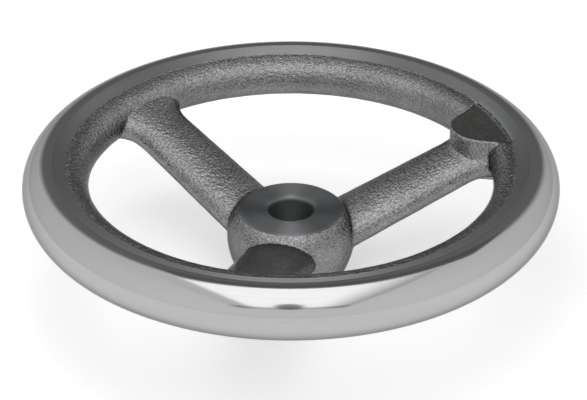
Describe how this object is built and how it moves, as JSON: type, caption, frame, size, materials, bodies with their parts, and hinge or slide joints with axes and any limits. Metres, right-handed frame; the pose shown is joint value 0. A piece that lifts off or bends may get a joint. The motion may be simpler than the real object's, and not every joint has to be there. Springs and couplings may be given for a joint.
{
  "type": "machine handwheel",
  "caption": "Dished cast-iron handwheel with a polished round rim, tapered oval spokes, a plain bored hub and a flat boss for a revolving handle.",
  "frame": {"origin": "centre of the hub's back face, at the back end of the bore", "axes": "+Z along the bore to the front of the wheel, +X out along the spoke that carries the handle boss, +Y completes the right-handed frame"},
  "size_m": [0.16, 0.16, 0.045],
  "materials": {
    "cast_iron": "raw casting with a turned and polished rim"
  },
  "bodies": {
    "root": {"handwheel": "cast_iron"}
  },
  "joints": []
}
